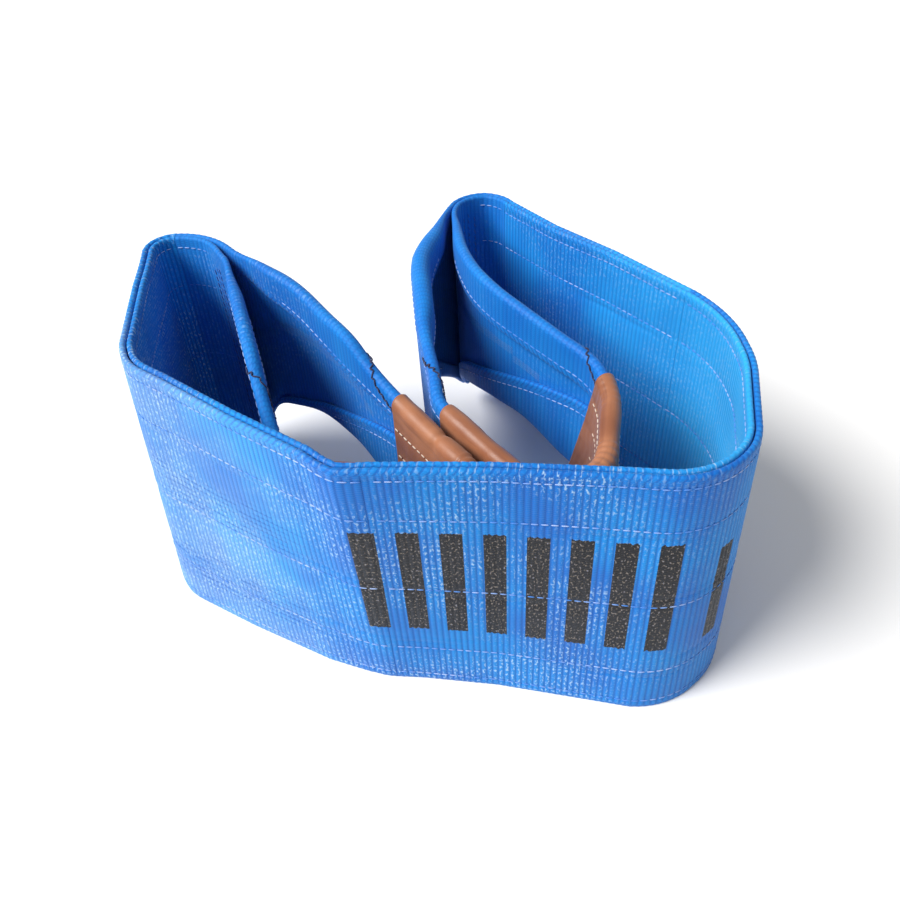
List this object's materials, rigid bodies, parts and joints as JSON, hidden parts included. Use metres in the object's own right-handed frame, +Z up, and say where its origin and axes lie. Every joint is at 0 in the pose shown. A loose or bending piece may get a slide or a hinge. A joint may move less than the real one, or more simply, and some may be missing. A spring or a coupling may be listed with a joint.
{
  "type": "flat web sling",
  "caption": "Wide two-ply flat web sling with folded, sleeved eyes, curled into an open loop on its edge, for lifting loads.",
  "frame": {"origin": "on the floor, under the middle of the whole curled sling", "axes": "+X along the front wall to the right, +Z up across the webbing's width, the front wall faces -Y"},
  "size_m": [0.5049, 0.4167, 0.24],
  "materials": {
    "webbing": "ribbed woven polyester, slight sheen, scuffed",
    "light_thread": "pale blue sewing thread",
    "dark_thread": "dark blue sewing thread",
    "wear_sleeve": "smooth tan hide, satin",
    "sleeve_thread": "off-white sewing thread"
  },
  "bodies": {
    "front": {"front_inner_ply": "webbing", "front_lengthwise_seams": "light_thread", "front_outer_ply": "webbing"},
    "left_wing": {"left_throat_cross_seam": "dark_thread", "left_wing_inner_ply": "webbing", "left_wing_lengthwise_seams": "light_thread", "left_wing_outer_ply": "webbing"},
    "left_eye": {"left_eye_bearing_web": "webbing", "left_eye_far_closing_seam": "dark_thread", "left_eye_far_leg": "webbing", "left_eye_far_leg_seam": "light_thread", "left_eye_near_closing_seam": "dark_thread", "left_eye_near_leg": "webbing", "left_eye_near_leg_seam": "light_thread", "left_eye_sleeve_seams": "sleeve_thread", "left_eye_wear_sleeve": "wear_sleeve"},
    "right_wing": {"right_throat_cross_seam": "dark_thread", "right_wing_inner_ply": "webbing", "right_wing_lengthwise_seams": "light_thread", "right_wing_outer_ply": "webbing"},
    "right_eye": {"right_eye_bearing_web": "webbing", "right_eye_inner_closing_seam": "dark_thread", "right_eye_inner_leg": "webbing", "right_eye_inner_leg_seam": "light_thread", "right_eye_outer_closing_seam": "dark_thread", "right_eye_outer_leg": "webbing", "right_eye_outer_leg_seam": "light_thread", "right_eye_sleeve_seams": "sleeve_thread", "right_eye_wear_sleeve": "wear_sleeve"}
  },
  "joints": [
    {"name": "left_wing_bend", "type": "hinge", "parent": "front", "child": "left_wing", "pos_m": [-0.2136, -0.0706, 0], "axis": [0, 0, 1], "range_deg": [0, 25]},
    {"name": "left_eye_swing", "type": "hinge", "parent": "left_wing", "child": "left_eye", "pos_m": [-0.17524, 0.0805, 0], "axis": [0, 0, 1], "range_deg": [-16.5, 0]},
    {"name": "right_wing_bend", "type": "hinge", "parent": "front", "child": "right_wing", "pos_m": [0.20962, -0.18936, 0], "axis": [0, 0, 1], "range_deg": [-60, 0]},
    {"name": "right_eye_swing", "type": "hinge", "parent": "right_wing", "child": "right_eye", "pos_m": [0.01805, 0.18352, 0], "axis": [0, 0, 1], "range_deg": [0, 14]}
  ],
  "couplings": [
    {"joint": "left_eye_swing", "follows": "left_wing_bend", "ratio": -0.66}
  ]
}
